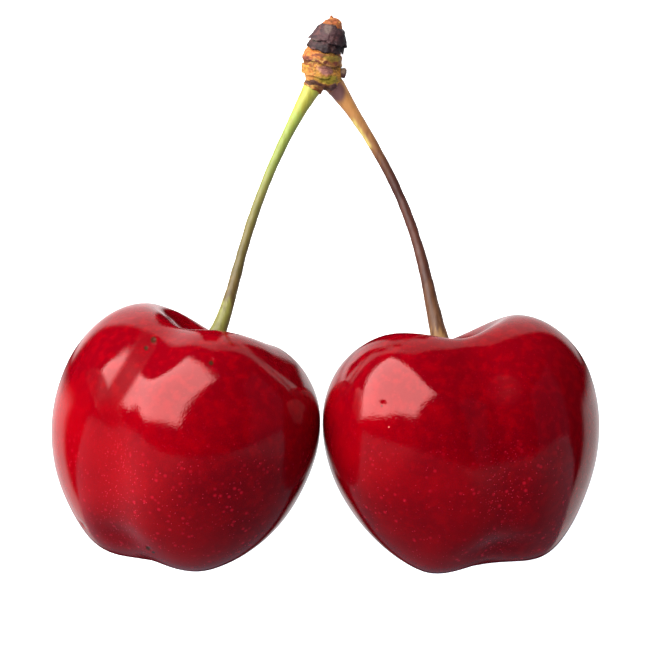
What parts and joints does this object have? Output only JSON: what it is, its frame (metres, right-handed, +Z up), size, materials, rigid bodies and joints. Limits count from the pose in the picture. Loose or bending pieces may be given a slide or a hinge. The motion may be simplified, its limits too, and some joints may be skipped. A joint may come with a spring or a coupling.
{
  "type": "pair of cherries on stalks",
  "caption": "Pair of heart-shaped red sweet cherries on curved stalks joined at a short woody spur with dried bud scales, lying on their backs.",
  "frame": {"origin": "middle of the bounding box's base, on the surface that the pair lies on", "axes": "+Z up off the surface, towards the seam side of the cherries; +Y from the cherries' tips to the woody spur; +X from the left cherry, on the green stalk, to the right one"},
  "size_m": [0.0572, 0.0572, 0.0258],
  "materials": {
    "cherry_skin": "glossy taut fruit skin",
    "green_stalk": "satin green plant stem",
    "red_stalk": "satin red-brown plant stem",
    "spur_wood": "rough young wood",
    "dark_scale": "dry dark bud scale",
    "tan_scale": "dry tan bud scale",
    "stub_bark": "dry bark"
  },
  "bodies": {
    "root": {"left_cherry": "cherry_skin", "right_cherry": "cherry_skin", "left_stalk": "green_stalk", "right_stalk": "red_stalk", "spur": "spur_wood", "scale_cap_left": "dark_scale", "scale_cap_right": "dark_scale", "scale_cap_back": "dark_scale", "scale_middle": "dark_scale", "scale_tan_upper": "tan_scale", "scale_tan_lower": "tan_scale", "side_stub": "stub_bark"}
  },
  "joints": []
}
